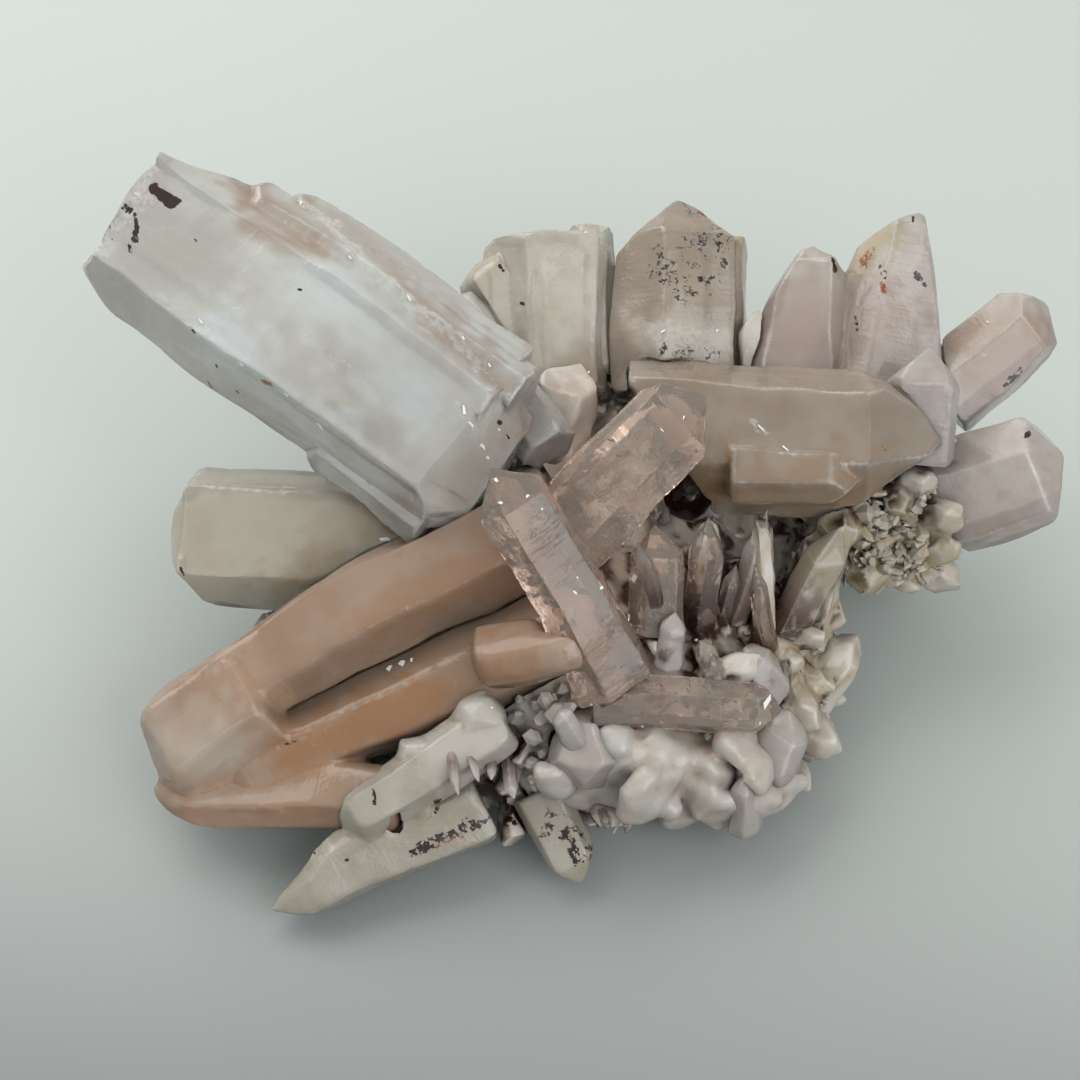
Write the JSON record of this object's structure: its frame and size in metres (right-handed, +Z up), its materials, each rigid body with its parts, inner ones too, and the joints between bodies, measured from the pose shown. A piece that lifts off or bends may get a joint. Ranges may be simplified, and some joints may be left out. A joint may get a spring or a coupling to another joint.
{
  "type": "quartz crystal cluster",
  "caption": "Natural quartz crystal cluster: large milky and clear six-sided crystals fanning out of a bed crusted with small crystals, cut flat to rest on.",
  "frame": {"origin": "on the flat cut under the bed, below the middle of the cluster", "axes": "+Z up, +X along the cluster's length from the great crystal's side to the end crystal's side, -Y towards the side that the picture was taken from"},
  "size_m": [0.1509, 0.108, 0.0708],
  "materials": {
    "clear_quartz": "clear colourless rock crystal with bright glassy faces and inner veils",
    "milky_quartz": "translucent milky quartz, faintly pink, with glassy striated faces",
    "white_quartz": "translucent white quartz, waxy, with a few black specks",
    "pink_quartz": "translucent pinkish brown to orange quartz",
    "grey_quartz": "translucent brownish grey quartz with dark inclusions",
    "bed_quartz": "druse of small translucent crystals, mauve pink with yellow brown crust in the hollows"
  },
  "bodies": {
    "root": {"great_crystal": "milky_quartz", "left_crystal": "milky_quartz", "pink_crystal": "pink_quartz", "white_blade": "white_quartz", "marked_point": "white_quartz", "stub_crystal": "milky_quartz", "clear_point_middle": "clear_quartz", "clear_point_upper": "clear_quartz", "clear_point_small": "clear_quartz", "clear_point_right": "clear_quartz", "bar_crystal": "grey_quartz", "wedge_crystal": "milky_quartz", "fan_crystal": "white_quartz", "smoky_crystal": "grey_quartz", "peak_crystal": "milky_quartz", "corner_crystal": "milky_quartz", "end_crystal": "milky_quartz", "back_crystal_left": "milky_quartz", "back_crystal_right": "milky_quartz", "back_crystal_low": "grey_quartz", "druse_bed": "bed_quartz"}
  },
  "joints": []
}
